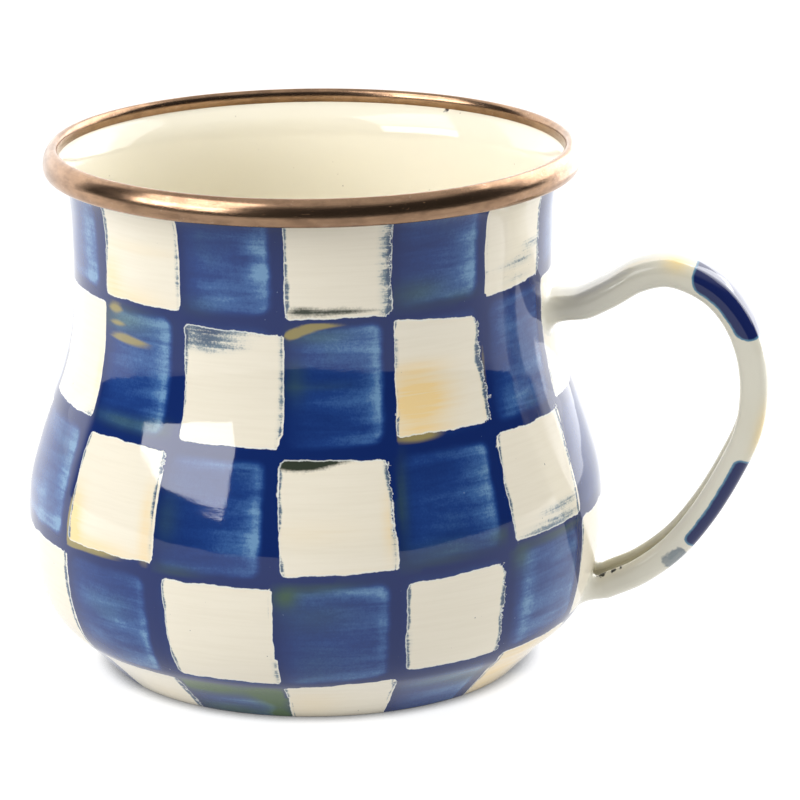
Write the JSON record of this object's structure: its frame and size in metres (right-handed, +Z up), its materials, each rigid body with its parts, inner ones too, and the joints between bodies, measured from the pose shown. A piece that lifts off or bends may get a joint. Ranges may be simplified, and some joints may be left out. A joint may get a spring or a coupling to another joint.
{
  "type": "enamelled steel mug",
  "caption": "Round-bellied enamelled mug with a flared mouth, a rolled metal rim band and a curved channel handle welded to one side.",
  "frame": {"origin": "centre of the flat base, on the surface that the mug stands on", "axes": "+Z up along the mug's axis, +X from the axis to the handle, +Y to complete a right-handed frame"},
  "size_m": [0.1408, 0.1092, 0.1],
  "materials": {
    "bare_steel": "dull pickled sheet",
    "inside_glaze": "glossy cream enamel",
    "painted_glaze": "glossy enamel with hand-painted blue and ivory checks",
    "bronzed_band": "bronzed, brushed and lightly scratched",
    "handle_glaze": "glossy ivory enamel with two blue dabs",
    "weld_steel": "weld nugget"
  },
  "bodies": {
    "root": {"body_shell": "bare_steel", "inside_enamel": "inside_glaze", "outside_enamel": "painted_glaze", "rim_band": "bronzed_band", "handle_strap": "bare_steel", "handle_enamel": "handle_glaze", "upper_weld_front": "weld_steel", "upper_weld_rear": "weld_steel", "lower_weld_front": "weld_steel", "lower_weld_rear": "weld_steel"}
  },
  "joints": []
}
